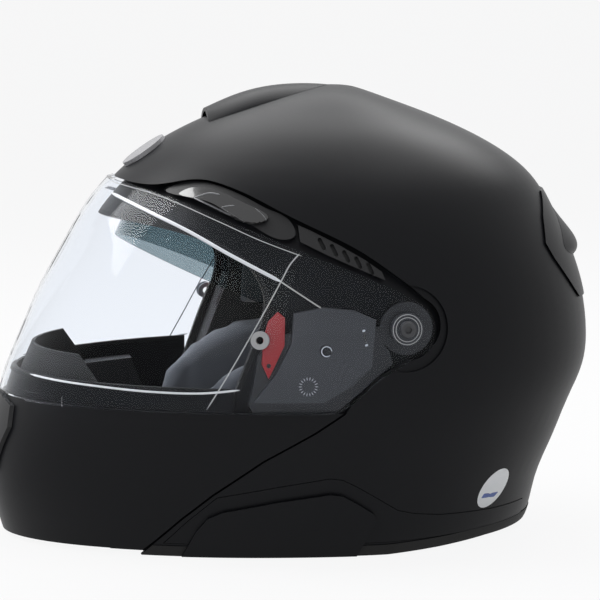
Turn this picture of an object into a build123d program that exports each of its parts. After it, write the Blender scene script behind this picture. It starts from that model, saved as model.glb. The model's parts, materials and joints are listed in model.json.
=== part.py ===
"""Modular motorcycle helmet: nose towards -X, wearer's left side towards -Y, base at Z = 0."""

import os

from build123d import *

os.makedirs("parts", exist_ok=True)

# overall sizes of the outer form
half_length = 174.0
half_width = 124.4
height = 256.0
widest_x = 23.0

# depths below the outer form, and walls
shell_wall = 4.0
recess_depth = 6.2
recess_wall = 3.8
rim_wall = 3.0
chin_wall = 3.1
lip_depth = 1.2
arm_wall = 2.1
cover_depth = 0.9
visor_gap = 0.5
visor_wall = 2.2
liner_wall = 33.7
pad_wall = 9.0
seat_gap = 0.3
seam_gap = 0.8
bore_gap = 0.05
overrun = 30.0

# places of the swinging parts
pivot_x = 46.0
pivot_z = 129.0
pivot_radius = 4.6
pivot_cap_proud = 3.2
arm_hub_radius = 14.5
visor_hub_radius = 9.0
visor_end_radius = 15.5
visor_bottom_z = 83.5
sill_z = 95.0
lip_overlap = 10.0
chin_bottom_z = 3.0
flange_wall = 2.5
flange_width = 17.0
chin_liner_wall = 14.5
chin_sweep_radius = 136.0
hub_gap = 4.0
hub_floor_gap = 0.7
hub_seat_radius = 22.0
hub_step_width = 8.0
hub_step_height = 10.0
end_relief_radius = 23.5
end_relief_depth = 1.4

# shell details
trim_wall = 0.6
trim_floor = 1.5
trim_height = 6.0
trim_width = 2.4
gasket_depth = 6.4
gasket_wall = 5.0
skirt_pocket = 2.4
skirt_proud = 0.4
side_cover_wall = 2.2
top_hole_x = -26.0
top_hole_length = 14.0
top_hole_width = 8.0
pivot_base_radius = 19.0
pivot_base_wall = 3.5

# inner sun visor
sun_x = 10.0
sun_z = 123.0
sun_radius = 121.0
sun_half_width = 86.0
sun_wall = 2.2
sun_arc = 50.0
sun_start = 23.4
sun_drop = 26.0
sun_gap = 1.5
sun_slot_margin = 3.0
sun_hub_radius = 8.0
sun_pin_radius = 3.0
sun_pin_reach = 11.0

# padding
foam_foot_z = 31.0
crown_front_x = -70.0
crown_low_z = 118.0
crown_slant = -25.0
roll_front_x = 30.0
roll_low_z = 8.0
roll_top_z = 30.5
roll_wall = 20.0
roll_round = 5.0
cheek_near_y = 56.0
cheek_wall = 40.0

# visor fittings
insert_pin_x = -34.0
insert_pin_z = 124.0
insert_flange_radius = 5.0
insert_flange_wall = 0.7
insert_stem_radius = 3.4
insert_bore_radius = 2.1
insert_reach = 0.5
visor_bore_gap = 0.6
cap_chamfer = 0.8
cap_socket_radius = 2.2
cap_socket_depth = 1.6
tab_front_x = -157.0
tab_rear_x = -138.0
tab_rise = 5.0
tab_proud = 3.4

# chin bar
arm_depth = 3.4
lip_rear_x = -48.0
flange_rear_x = -120.0
button_x = -160.0
button_length = 9.0
button_width = 24.0
button_height = 9.0
button_round = 2.5
button_travel = 3.0
slide_gap = 0.4
liner_low_z = 6.0
liner_top_z = 88.0
guard_depth = 6.0
guard_wall = 1.8
guard_rear_x = -112.0
guard_top_z = 110.0
seal_wall = 2.0
seal_depth = 0.5
grille_half_width = 30.0
grille_low_z = 44.0
grille_top_z = 80.0
grille_wall = 2.0
chin_vent_proud = 2.6
chin_vent_window_low = 48.0
chin_vent_window_top = 72.0
chin_vent_window_width = 38.0
chin_shutter_height = 15.0
chin_shutter_wall = 1.5
latch_x = -88.0
latch_z = 44.0
latch_pin_radius = 2.5
latch_hook_wall = 3.0
latch_hook_depth = 5.2
latch_pivot_x = -98.0
latch_pivot_z = 52.0
latch_pivot_radius = 2.0
striker_wall = 2.5
striker_rear_x = -60.0
screw_x = 1.0
screw_z = 118.0
screw_radius = 3.2

# vents and covers
frame_depth = 2.2
slider_depth = 0.3
slider_wall = 1.2
louvre_depth = 1.2
louvre_slot_width = 2.2
louvre_slot_length = 7.0
louvre_slot_lean = -66.0
louvre_slot_count = 5
louvre_slot_x = 1.0
louvre_slot_z = 175.0
louvre_slot_pitch = 6.4
louvre_slot_fall = 3.3
louvre_slot_depth = 2.4
release_depth = 1.4
release_pivot_x = -29.5
release_pivot_z = 110.0
release_pin_radius = 1.2
vent_half_width = 23.0
vent_round = 15.0
vent_wall = 2.0
shutter_x = -35.0
shutter_length = 12.0
shutter_width = 15.0
shutter_wall = 1.4
rear_vent_proud = 1.0
badge_x = -84.0
badge_radius = 14.0
badge_wall = 1.6

# straps and buckle
strap_x = -10.0
strap_width = 22.0
strap_wall = 1.8
strap_bend = 6.0
strap_top_z = 29.0
strap_turn_z = 14.0
strap_low_z = 6.4
strap_low_y = 62.0
anchor_z = 23.0
anchor_depth = 7.2
anchor_radius = 4.5
anchor_shank_radius = 2.0
anchor_wall = 2.0
buckle_near_y = 20.0
buckle_far_y = 50.0
buckle_low_z = 3.2
buckle_width = 26.0
buckle_wall = 2.0
tongue_wall = 1.5
tongue_width = 18.0
tongue_near_y = 6.0
tongue_far_y = 43.0
lug_wall = 2.0
lug_length = 6.0
hinge_y = 44.0
hinge_radius = 1.2
lever_wall = 2.2
track_depth = 4.9
track_front_x = -68.0
track_length = 52.0
track_low_z = 8.0
track_height = 5.0
knob_length = 12.0
knob_front_x = -58.0
knob_low_z = 2.0
knob_wall = 4.0

# shares of the half length and the height, for outlines seen from the side
level_shares = [
    (0.0, 0.954, 0.753, 0.8),
    (0.035, 0.971, 0.799, 0.828),
    (0.113, 1.0, 0.828, 0.88),
    (0.207, 1.0, 0.885, 0.932),
    (0.293, 0.966, 0.937, 0.977),
    (0.371, 0.931, 0.986, 0.997),
    (0.449, 0.883, 0.997, 1.0),
    (0.547, 0.819, 0.977, 0.979),
    (0.645, 0.739, 0.928, 0.926),
    (0.723, 0.672, 0.874, 0.856),
    (0.789, 0.595, 0.816, 0.772),
    (0.848, 0.497, 0.716, 0.667),
    (0.902, 0.365, 0.572, 0.539),
    (0.945, 0.218, 0.422, 0.386),
    (0.973, 0.086, 0.31, 0.265),
    (0.992, -0.034, 0.23, 0.137),
]
recess_top_shares = [
    (-0.655, 0.803), (-0.575, 0.799), (-0.5, 0.795), (-0.454, 0.799), (-0.402, 0.807), (-0.333, 0.811),
    (-0.264, 0.799), (-0.195, 0.779), (-0.115, 0.75), (-0.029, 0.721), (0.063, 0.691), (0.144, 0.66),
    (0.213, 0.627), (0.282, 0.592), (0.328, 0.565),
]
split_shares = [
    (0.069, 0.324), (-0.023, 0.281), (-0.178, 0.219), (-0.333, 0.141), (-0.425, 0.086), (-0.511, 0.027),
    (-0.575, -0.02),
]
eye_port_shares = [
    (-0.64, 0.727), (-0.471, 0.715), (-0.328, 0.688), (-0.207, 0.637), (-0.161, 0.574), (-0.19, 0.48),
    (-0.241, 0.391), (-0.287, 0.313), (-0.379, 0.215), (-0.483, 0.137), (-0.592, 0.059), (-0.655, -0.02),
]
visor_top_shares = [
    (-0.655, 0.797), (-0.575, 0.795), (-0.5, 0.785), (-0.402, 0.764), (-0.31, 0.738), (-0.207, 0.711),
    (-0.069, 0.672), (0.132, 0.617), (0.241, 0.584), (0.31, 0.557),
]
visor_low_shares = [(0.333, 0.457), (0.293, 0.445), (0.178, 0.402), (0.092, 0.35), (0.04, 0.328)]
brow_frame_shares = [
    (-0.445, 0.787), (-0.402, 0.801), (-0.333, 0.805), (-0.268, 0.793), (-0.2, 0.772), (-0.144, 0.752),
    (-0.09, 0.733), (-0.075, 0.7), (-0.108, 0.692), (-0.202, 0.72), (-0.305, 0.748), (-0.397, 0.774),
]
brow_slider_shares = [
    (-0.41, 0.783), (-0.362, 0.795), (-0.3, 0.79), (-0.22, 0.766), (-0.155, 0.736), (-0.19, 0.726),
    (-0.287, 0.751), (-0.37, 0.773),
]
louvre_shares = [
    (-0.06, 0.688), (-0.063, 0.722), (-0.026, 0.711), (0.06, 0.681), (0.138, 0.65), (0.19, 0.625),
    (0.2, 0.607), (0.132, 0.627), (0.023, 0.66),
]
arm_shares = [
    (0.19, 0.505), (-0.029, 0.505), (-0.149, 0.49), (-0.2, 0.45), (-0.215, 0.39), (-0.23, 0.345),
    (-0.172, 0.275), (-0.08, 0.277), (0.046, 0.33), (0.15, 0.39), (0.22, 0.43),
]
cover_shares = [
    (0.165, 0.525), (0.1, 0.545), (0.0, 0.552), (-0.09, 0.54), (-0.1, 0.476), (-0.15, 0.41), (-0.215, 0.35),
    (0.0, 0.35), (0.09, 0.385), (0.15, 0.425),
]
release_shares = [
    (-0.138, 0.543), (-0.118, 0.531), (-0.121, 0.473), (-0.17, 0.402), (-0.19, 0.432), (-0.184, 0.488),
    (-0.168, 0.523),
]
rear_vent_shares = [
    (0.813, 0.764), (0.805, 0.744), (0.791, 0.715), (0.784, 0.66), (0.815, 0.626), (0.851, 0.595),
    (0.888, 0.563), (0.928, 0.53), (1.1, 0.525), (1.1, 0.764),
]
skirt_top_shares = [
    (-0.322, 0.137), (-0.132, 0.162), (0.029, 0.18), (0.069, 0.176), (0.115, 0.16), (0.19, 0.129),
    (0.253, 0.102), (0.31, 0.092), (0.402, 0.084), (0.598, 0.08), (0.73, 0.08),
]
skirt_foot_shares = [(0.73, 0.045), (0.575, 0.04), (0.402, 0.034), (0.23, 0.03), (-0.48, 0.03), (-0.41, 0.082)]
side_cover_shares = [
    (-0.425, 0.0), (-0.385, 0.059), (-0.351, 0.09), (-0.305, 0.105), (-0.132, 0.129), (0.029, 0.145),
    (0.069, 0.141), (0.121, 0.121), (0.172, 0.098), (0.184, 0.082), (0.126, 0.0),
]
spoiler_shares = [
    (0.615, 0.957, 0.78), (0.629, 0.97, 0.794), (0.663, 0.953, 0.747), (0.714, 0.893, 0.733),
    (0.762, 0.83, 0.691),
]
top_vent_shares = [
    (-0.282, 0.95, 0.82, 0.8), (-0.218, 0.969, 1.0, 1.0), (-0.115, 0.992, 1.0, 1.0), (0.034, 1.003, 0.92, 1.0),
    (0.15, 0.998, 0.7, 0.9), (0.23, 0.982, 0.4, 0.6),
]
chin_vent_shares = [(0.096, 0.32), (0.241, 0.305), (0.265, 0.258), (0.177, 0.156), (0.08, 0.133)]
foot_shares = [(-0.4, 0.0), (0.23, 0.0), (0.402, 0.008), (0.575, 0.018), (0.862, 0.025), (1.1, 0.025)]
sun_shares = [
    (-1.0, 0.05), (-0.975, 0.38), (-0.9, 0.6), (-0.7, 0.79), (-0.39, 0.935), (0.0, 1.0),
    (0.39, 0.935), (0.7, 0.79), (0.9, 0.6), (0.975, 0.38), (1.0, 0.05),
]
cheek_crown_shares = [(0.0, 0.7), (0.12, 0.86), (0.4, 0.96), (0.7, 1.0), (1.0, 0.98)]
cheek_shares = [
    (-0.46, 0.25), (-0.4, 0.34), (-0.27, 0.41), (-0.06, 0.45), (0.12, 0.43), (0.15, 0.24), (0.12, 0.085),
    (-0.26, 0.08), (-0.41, 0.14),
]


def at(shares):
    """Side-view points from shares of the half length and the height."""
    return [(x_share * half_length, z_share * height) for x_share, z_share in shares]


def hull(depth, drop=0.0):
    """The outer form moved inwards by a depth, with its open foot lowered by a drop."""
    tall = height - depth
    wide = half_width - depth
    front_scale = (half_length + widest_x - depth) / (half_length + widest_x)
    rear_scale = (half_length - widest_x - depth) / (half_length - widest_x)
    with BuildPart() as form:
        for level_share, front_share, rear_share, width_share in level_shares:
            ahead = (front_share * half_length + widest_x) * front_scale
            behind = (rear_share * half_length - widest_x) * rear_scale
            side = width_share * wide
            with BuildSketch(Plane.XY.offset(level_share * tall)):
                with BuildLine():
                    for start, reach in enumerate((behind, ahead, ahead, behind)):
                        EllipticalCenterArc(
                            (widest_x, 0), reach, side, start_angle=start * 90, arc_size=90
                        )
                make_face()
        loft(sections=[*form.pending_faces, Vertex(widest_x, 0, tall)])
        if drop > 0:
            extrude(form.faces().sort_by(Axis.Z)[0], amount=drop)
    return form.part


def surface_point(x, z, form):
    """The point and outward direction of a form's left wall at a side-view place."""
    return form.find_intersection_points(Axis((x, -half_width - overrun, z), (0, 1, 0)))[0]


def write(piece, name):
    piece.part.label = name
    export_step(piece.part, f"parts/{name}.step")


def write_both_sides(piece, name):
    write(piece, f"{name}_left")
    with BuildPart() as twin:
        mirror(piece.part, about=Plane.XZ)
    write(twin, f"{name}_right")


def write_pair(piece, name):
    """One node that holds a left piece and its mirrored twin."""
    with BuildPart() as pair:
        add(piece.part)
        mirror(piece.part, about=Plane.XZ)
    write(pair, name)


side_reach = half_width + overrun
front_x = -half_length - overrun


def side_block(points, near=None):
    """A straight prism across the helmet, or from a half width out past the left side."""
    start = -side_reach if near is None else near
    with BuildPart() as block:
        with BuildSketch(Plane.XZ.offset(start)):
            with BuildLine():
                Polyline(*points, close=True)
            make_face()
        extrude(amount=side_reach - start)
    return block.part


def box_block(low, high, near=None):
    """A rectangular bar between two side-view corners."""
    return side_block([low, (low[0], high[1]), high, (high[0], low[1])], near)


def smooth_block(points, near=None):
    """The same, with one smooth closed curve through the points."""
    start = -side_reach if near is None else near
    with BuildPart() as block:
        with BuildSketch(Plane.XZ.offset(start)):
            with BuildLine():
                Spline(*points, periodic=True)
            make_face()
        extrude(amount=side_reach - start)
    return block.part


def disc_block(x, z, radius, near=None):
    """A round bar across the helmet, or from a half width out past the left side."""
    start = -side_reach if near is None else near
    with BuildPart() as block:
        with BuildSketch(Plane.XZ.offset(start)):
            with Locations((x, z)):
                Circle(radius)
        extrude(amount=side_reach - start)
    return block.part


def layer(block, near, far):
    """What a block holds between two depths below the outer form."""
    near_form = hull(near)
    far_form = hull(far, overrun)
    with BuildPart() as skin:
        add(block)
        add(near_form, mode=Mode.INTERSECT)
        add(far_form, mode=Mode.SUBTRACT)
    return skin.part


def plate_between(points, depth, wall, x, z):
    """A flat side plate whose outer face lies at a depth below the left wall at one place."""
    outer_y = surface_y(x, z) - depth
    with BuildPart() as plate:
        with BuildSketch(Plane.XZ.offset(outer_y - wall)):
            with BuildLine():
                Polyline(*points, close=True)
            make_face()
        extrude(amount=wall)
    return plate.part


outer_form = hull(0)


def surface_y(x, z):
    return -surface_point(x, z, outer_form)[0].Y


recess_points = at(recess_top_shares)
split_points = at(split_shares)
eye_points = at(eye_port_shares)
visor_top_points = at(visor_top_shares)
visor_low_points = at(visor_low_shares)
skirt_points = at(skirt_top_shares + skirt_foot_shares)
foot_points = at(foot_shares)
pivot_y = surface_y(pivot_x, pivot_z)
hub_top_y = pivot_y - arm_depth
hub_floor_y = hub_top_y - arm_wall - hub_floor_gap


def x_on(points, z):
    """The side-view place where a falling row of points crosses a level."""
    for (x_high, z_high), (x_low, z_low) in zip(points, points[1:]):
        if z_low <= z <= z_high:
            return x_high + (x_low - x_high) * (z_high - z) / (z_high - z_low)


def beside(points, distance):
    """A row of side-view points moved to its left by a distance."""
    moved = []
    for place, (x, z) in enumerate(points):
        x_before, z_before = points[max(place - 1, 0)]
        x_after, z_after = points[min(place + 1, len(points) - 1)]
        way = Vector(x_after - x_before, z_after - z_before).normalized()
        moved.append((x - way.Y * distance, z + way.X * distance))
    return moved


def recess_block(grow):
    """The sunk side area, widened by a growth."""
    top = beside(recess_points, grow)
    low = beside([*visor_low_points[:4], *split_points], grow)
    with BuildPart() as block:
        with BuildSketch(Plane.XZ.offset(-side_reach)):
            with BuildLine():
                Line((front_x, top[0][1]), top[0])
                Spline(*top)
                ThreePointArc(top[-1], (pivot_x + visor_end_radius + hub_gap + grow, pivot_z), low[0])
                Polyline(*low, (front_x, low[-1][1]))
                Line((front_x, low[-1][1]), (front_x, top[0][1]))
            make_face()
        extrude(amount=2 * side_reach)
    return block.part


def front_block(grow):
    """The eye opening and everything in front of the shell, widened by a growth."""
    edge = beside(eye_points, grow)
    with BuildPart() as block:
        with BuildSketch(Plane.XZ.offset(-side_reach)):
            with BuildLine():
                Line((front_x, edge[0][1]), edge[0])
                Spline(*edge)
                Polyline(edge[-1], (front_x, edge[-1][1]), (front_x, edge[0][1]))
            make_face()
        extrude(amount=2 * side_reach)
    return block.part


with BuildPart() as visor_prism:
    with BuildSketch(Plane.XZ.offset(-side_reach)):
        with BuildLine():
            Line((front_x, visor_top_points[0][1]), visor_top_points[0])
            Spline(*visor_top_points)
            ThreePointArc(
                visor_top_points[-1], (pivot_x + visor_end_radius, pivot_z), visor_low_points[0]
            )
            Polyline(*visor_low_points, (0, visor_bottom_z), (front_x, visor_bottom_z))
            Line((front_x, visor_bottom_z), (front_x, visor_top_points[0][1]))
        make_face()
    extrude(amount=2 * side_reach)

recess_prism = recess_block(0)
front_space = front_block(0)
foam_front_space = front_block(trim_width)
skirt_prism = side_block(skirt_points)
foot_block = side_block(
    [*foot_points, (foot_points[-1][0], -overrun), (front_x, -overrun), (front_x, 0)]
)
raised_foot_block = side_block(
    [
        *[(x, z + trim_floor) for x, z in foot_points],
        (foot_points[-1][0], -overrun),
        (front_x, -overrun),
        (front_x, trim_floor),
    ]
)
recess_skin = layer(recess_block(rim_wall), 0, recess_depth + recess_wall)
skirt_form = hull(skirt_pocket)
recess_form = hull(recess_depth)
relief_form = hull(end_relief_depth)
shell_inner_form = hull(shell_wall, overrun)

# outer shell, sunk where the chin bar and the visor lie against it
with BuildPart() as recess_space:
    add(recess_prism)
    add(recess_form, mode=Mode.SUBTRACT)

# round room for the visor's end and, wider and shallow, for its raised top corner
with BuildPart() as end_space:
    add(disc_block(pivot_x, pivot_z, visor_end_radius + 2.5 * seam_gap))
    add(recess_form, mode=Mode.SUBTRACT)

with BuildPart() as relief_space:
    add(disc_block(pivot_x, pivot_z, end_relief_radius))
    add(relief_form, mode=Mode.SUBTRACT)

# flat round seats in the sunk area, where the hubs of the chin bar's arms turn
with BuildPart() as hub_seats:
    for side in (1, -1):
        with BuildSketch(Plane.XZ.offset(side * hub_floor_y)):
            with Locations((pivot_x, pivot_z)):
                Circle(hub_seat_radius)
        extrude(amount=side * overrun)
    add(recess_prism, mode=Mode.INTERSECT)

with BuildPart() as skirt_space:
    with BuildSketch(Plane.XZ.offset(-side_reach)):
        with BuildLine():
            Polyline(*skirt_points, close=True)
        make_face()
        offset(amount=seat_gap, kind=Kind.INTERSECTION)
    extrude(amount=2 * side_reach)
    add(skirt_form, mode=Mode.SUBTRACT)

with BuildPart() as shell:
    add(outer_form)
    add(shell_inner_form, mode=Mode.SUBTRACT)
    add(recess_skin)
    add(recess_space.part, mode=Mode.SUBTRACT)
    add(front_space, mode=Mode.SUBTRACT)
    add(raised_foot_block, mode=Mode.SUBTRACT)
    add(skirt_space.part, mode=Mode.SUBTRACT)
    add(end_space.part, mode=Mode.SUBTRACT)
    add(relief_space.part, mode=Mode.SUBTRACT)
    add(hub_seats.part, mode=Mode.SUBTRACT)
    with BuildSketch(Plane.XZ):
        with Locations((pivot_x, pivot_z)):
            Circle(pivot_radius + bore_gap)
    extrude(amount=side_reach, both=True, mode=Mode.SUBTRACT)
    with BuildSketch(Plane.XY.offset(height)):
        with Locations((top_hole_x, 0)):
            SlotOverall(top_hole_length, top_hole_width, rotation=90)
    extrude(amount=-overrun, mode=Mode.SUBTRACT)
write(shell, "shell")

# rubber trim that wraps the shell's lower edge
trim_block = side_block(
    [
        (front_x, -overrun),
        (front_x, trim_height),
        *[(x, z + trim_height) for x, z in foot_points],
        (foot_points[-1][0], -overrun),
    ]
)
trim_skin = layer(trim_block, -trim_wall, shell_wall + trim_wall)
with BuildPart() as neck_trim:
    add(trim_skin)
    add(foot_block, mode=Mode.SUBTRACT)
    add(front_space, mode=Mode.SUBTRACT)
    add(recess_space.part, mode=Mode.SUBTRACT)
    add(skirt_prism, mode=Mode.SUBTRACT)
    add(shell.part, mode=Mode.SUBTRACT)
write(neck_trim, "neck_trim")

# rubber trim along the edge of the eye opening
gasket_skin = layer(front_space, gasket_depth, gasket_depth + gasket_wall)
gasket_core = front_block(-trim_width)
with BuildPart() as eye_port_trim:
    add(gasket_skin)
    add(gasket_core, mode=Mode.SUBTRACT)
    with BuildSketch(Plane.XY.offset(chin_bottom_z)):
        Rectangle(4 * half_length, 4 * half_width)
    extrude(amount=-overrun, mode=Mode.SUBTRACT)
write(eye_port_trim, "eye_port_trim")

# impact liner with a slot for the inner sun visor
foam_outer_form = hull(shell_wall + seat_gap)
foam_recess_form = hull(recess_depth + recess_wall + seat_gap)
foam_inner_form = hull(shell_wall + liner_wall, overrun)
base_pocket = disc_block(pivot_x, pivot_z, pivot_base_radius + seat_gap)
base_pocket_form = hull(recess_depth + recess_wall + pivot_base_wall + 2 * seat_gap, overrun)
sun_axis = Axis((sun_x, 0, sun_z), (0, 1, 0))


def sun_band(grow, arc, start):
    """A band of revolution about the sun visor's pivots, thickened by a growth on both faces."""
    plane = Plane(origin=(sun_x, 0, sun_z), x_dir=(0, 1, 0), z_dir=Vector(0, 0, 1).rotate(Axis.Y, start))
    rows = [(side * sun_half_width, reach * sun_radius) for side, reach in sun_shares]
    outer_rows = [(y * (1 + grow / sun_half_width), r + grow) for y, r in rows]
    inner_scale = 1 - (sun_wall + grow) / sun_half_width
    inner_rows = [(y * inner_scale, r - sun_wall - grow) for y, r in rows]
    with BuildPart() as band:
        with BuildSketch(plane):
            with BuildLine():
                Spline(*[(y, r) for y, r in outer_rows])
                Line(outer_rows[-1], inner_rows[-1])
                Spline(*reversed(inner_rows))
                Line(inner_rows[0], outer_rows[0])
            make_face()
        revolve(axis=sun_axis, revolution_arc=arc)
    return band.part


slot_arc = sun_arc + sun_drop + 2 * sun_slot_margin
sun_slot = sun_band(sun_gap, slot_arc, sun_start - sun_drop - sun_slot_margin)
striker_points = [
    (latch_x - 2 * latch_pin_radius, latch_z - 1.5 * latch_pin_radius),
    (latch_x - 2 * latch_pin_radius, latch_z + 1.5 * latch_pin_radius),
    (striker_rear_x, latch_z + 3 * latch_pin_radius),
    (striker_rear_x, latch_z - 3 * latch_pin_radius),
]
striker_depth = gasket_depth + gasket_wall + seat_gap
striker_room = side_block([(x, latch_z + (z - latch_z) * 1.25) for x, z in striker_points])
striker_pocket = layer(striker_room, recess_depth, striker_depth + striker_wall + seam_gap)
foam_foot_block = box_block((front_x, -overrun), (2 * side_reach, foam_foot_z))
with BuildPart() as impact_liner:
    add(foam_outer_form)
    add(recess_block(rim_wall + seat_gap), mode=Mode.SUBTRACT)
    add(foam_recess_form)
    add(foam_inner_form, mode=Mode.SUBTRACT)
    add(foam_front_space, mode=Mode.SUBTRACT)
    add(foam_foot_block, mode=Mode.SUBTRACT)
    add(sun_slot, mode=Mode.SUBTRACT)
    add(base_pocket.cut(base_pocket_form), mode=Mode.SUBTRACT)
    for side in (1, -1):
        with BuildSketch(Plane.XZ.offset(side * (sun_half_width - sun_wall - seam_gap))):
            with Locations((sun_x, sun_z)):
                Circle(sun_hub_radius + sun_gap)
        extrude(amount=side * (sun_wall + 2 * seam_gap), mode=Mode.SUBTRACT)
        with BuildSketch(Plane.XZ.offset(side * sun_half_width)):
            with Locations((sun_x, sun_z)):
                Circle(sun_pin_radius + bore_gap)
        extrude(amount=side * (sun_pin_reach + seam_gap), mode=Mode.SUBTRACT)
    add(striker_pocket, mode=Mode.SUBTRACT)
write(impact_liner, "impact_liner")

# comfort padding
crown_block = side_block(
    [
        (crown_front_x, crown_low_z),
        (crown_front_x + crown_slant, height),
        (side_reach, height),
        (side_reach, crown_low_z),
    ]
)
crown_depth = shell_wall + liner_wall + seat_gap
with BuildPart() as crown_pad:
    add(layer(crown_block, crown_depth, crown_depth + pad_wall))
    for side in (1, -1):
        with BuildSketch(Plane.XZ.offset(side * (sun_half_width - sun_wall - seam_gap))):
            with Locations((sun_x, sun_z)):
                Circle(sun_hub_radius + sun_gap)
        extrude(amount=side * overrun, mode=Mode.SUBTRACT)
write(crown_pad, "crown_pad")

roll_block = box_block((roll_front_x, roll_low_z), (side_reach, roll_top_z))
roll_depth = shell_wall + trim_wall + seat_gap
roll_skin = layer(roll_block, roll_depth, roll_depth + roll_wall)
with BuildPart() as neck_roll:
    add(roll_skin)
    fillet(neck_roll.edges().filter_by(GeomType.LINE, reverse=True).group_by(Axis.Z)[0], radius=roll_round)
write(neck_roll, "neck_roll")

cheek_points = at(cheek_shares)
cheek_x = sum(x for x, z in cheek_points) / len(cheek_points)
cheek_z = sum(z for x, z in cheek_points) / len(cheek_points)
foam_form = hull(crown_depth)
with BuildPart() as cheek_pad:
    for y_share, size_share in cheek_crown_shares:
        with BuildSketch(Plane.XZ.offset(cheek_near_y + y_share * cheek_wall)):
            with BuildLine():
                Spline(
                    *[
                        (cheek_x + (x - cheek_x) * size_share, cheek_z + (z - cheek_z) * size_share)
                        for x, z in cheek_points
                    ],
                    periodic=True,
                )
            make_face()
    loft()
    add(foam_form, mode=Mode.INTERSECT)
write_both_sides(cheek_pad, "cheek_pad")

# inner sun visor and its slider
with BuildPart() as sun_visor:
    add(sun_band(0, sun_arc, sun_start))
    for side in (1, -1):
        with BuildSketch(Plane.XZ.offset(side * (sun_half_width - sun_wall))):
            with Locations((sun_x, sun_z)):
                Circle(sun_hub_radius)
        extrude(amount=side * sun_wall)
        with BuildSketch(Plane.XZ.offset(side * (sun_half_width - sun_wall))):
            with Locations((sun_x, sun_z)):
                Circle(sun_pin_radius)
        extrude(amount=side * (sun_wall + sun_pin_reach))
write(sun_visor, "sun_visor")

# lever at the lower left edge that draws the sun visor down, and its track
track_top_z = track_low_z + track_height
track_block = box_block((track_front_x, track_low_z), (track_front_x + track_length, track_top_z), near=0)
with BuildPart() as lever_track:
    add(layer(track_block, shell_wall + seat_gap, track_depth))
write(lever_track, "lever_track")

knob_depth = track_depth + 2 * seat_gap
knob_block = box_block((knob_front_x, knob_low_z), (knob_front_x + knob_length, track_top_z), near=0)
with BuildPart() as sun_lever:
    add(layer(knob_block, knob_depth, knob_depth + knob_wall))
write(sun_lever, "sun_lever")

# clear visor, its hubs, insert pins and lift tab
pin_point, pin_normal = surface_point(insert_pin_x, insert_pin_z, outer_form)
tab_block = box_block((tab_front_x, visor_bottom_z), (tab_rear_x, visor_bottom_z + tab_rise), near=0)
visor_skin = layer(visor_prism.part, -visor_gap - visor_wall, -visor_gap)
tab_skin = layer(tab_block, -visor_gap - visor_wall - tab_proud, -visor_gap - visor_wall / 2)
with BuildPart() as visor:
    add(visor_skin)
    add(tab_skin)
    with BuildSketch(Plane.XZ.offset(-side_reach)):
        with Locations((pivot_x, pivot_z)):
            Circle(pivot_radius + visor_bore_gap)
    extrude(amount=2 * side_reach, mode=Mode.SUBTRACT)
    for side in (1, -1):
        place = Plane(
            origin=(pin_point.X, side * pin_point.Y, pin_point.Z),
            z_dir=(pin_normal.X, side * pin_normal.Y, pin_normal.Z),
        )
        with BuildSketch(place.offset(-overrun / 2)):
            Circle(insert_stem_radius + bore_gap)
        extrude(amount=overrun, mode=Mode.SUBTRACT)
write(visor, "visor")

with BuildPart() as insert_pins:
    for side in (1, -1):
        place = Plane(
            origin=(pin_point.X, side * pin_point.Y, pin_point.Z),
            z_dir=(pin_normal.X, side * pin_normal.Y, pin_normal.Z),
        )
        with BuildSketch(place.offset(-insert_reach)):
            Circle(insert_stem_radius)
        extrude(amount=insert_reach + visor_gap + visor_wall + insert_flange_wall + seat_gap)
        with BuildSketch(place.offset(visor_gap + visor_wall + seat_gap)):
            Circle(insert_flange_radius)
        extrude(amount=insert_flange_wall)
        with BuildSketch(place.offset(-insert_reach)):
            Circle(insert_flange_radius)
        extrude(amount=insert_flange_wall)
        with BuildSketch(place.offset(-insert_reach)):
            Circle(insert_bore_radius)
        extrude(amount=overrun, mode=Mode.SUBTRACT)
write(insert_pins, "insert_pins")

hub_block = disc_block(pivot_x, pivot_z, visor_hub_radius, near=0)
with BuildPart() as visor_hub:
    add(hub_block)
    add(hull(seat_gap - visor_gap), mode=Mode.INTERSECT)
    with BuildSketch(Plane.XZ):
        Rectangle(4 * half_length, 4 * height)
    extrude(amount=hub_top_y + seat_gap, mode=Mode.SUBTRACT)
    with BuildSketch(Plane.XZ):
        with Locations((pivot_x, pivot_z)):
            Circle(pivot_radius + bore_gap)
    extrude(amount=side_reach, mode=Mode.SUBTRACT)
write_both_sides(visor_hub, "visor_hub")

# pivot shafts and the bases that hold them inside the shell
base_block = disc_block(pivot_x, pivot_z, pivot_base_radius, near=0)
base_depth = recess_depth + recess_wall + seat_gap
with BuildPart() as pivot_base:
    add(layer(base_block, base_depth, base_depth + pivot_base_wall))
    with BuildSketch(Plane.XZ):
        with Locations((pivot_x, pivot_z)):
            Circle(pivot_radius)
    extrude(amount=side_reach, mode=Mode.SUBTRACT)
write_both_sides(pivot_base, "pivot_base")

with BuildPart() as pivot_shaft:
    with BuildSketch(Plane.XZ.offset(pivot_y - base_depth - pivot_base_wall)):
        with Locations((pivot_x, pivot_z)):
            Circle(pivot_radius)
    extrude(amount=base_depth + pivot_base_wall + pivot_cap_proud)
    chamfer(pivot_shaft.edges().sort_by(Axis.Y)[0], length=cap_chamfer)
    with BuildSketch(Plane.XZ.offset(pivot_y + pivot_cap_proud)):
        with Locations((pivot_x, pivot_z)):
            RegularPolygon(cap_socket_radius, 6)
    extrude(amount=-cap_socket_depth, mode=Mode.SUBTRACT)
write_pair(pivot_shaft, "pivot_shafts")

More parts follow.
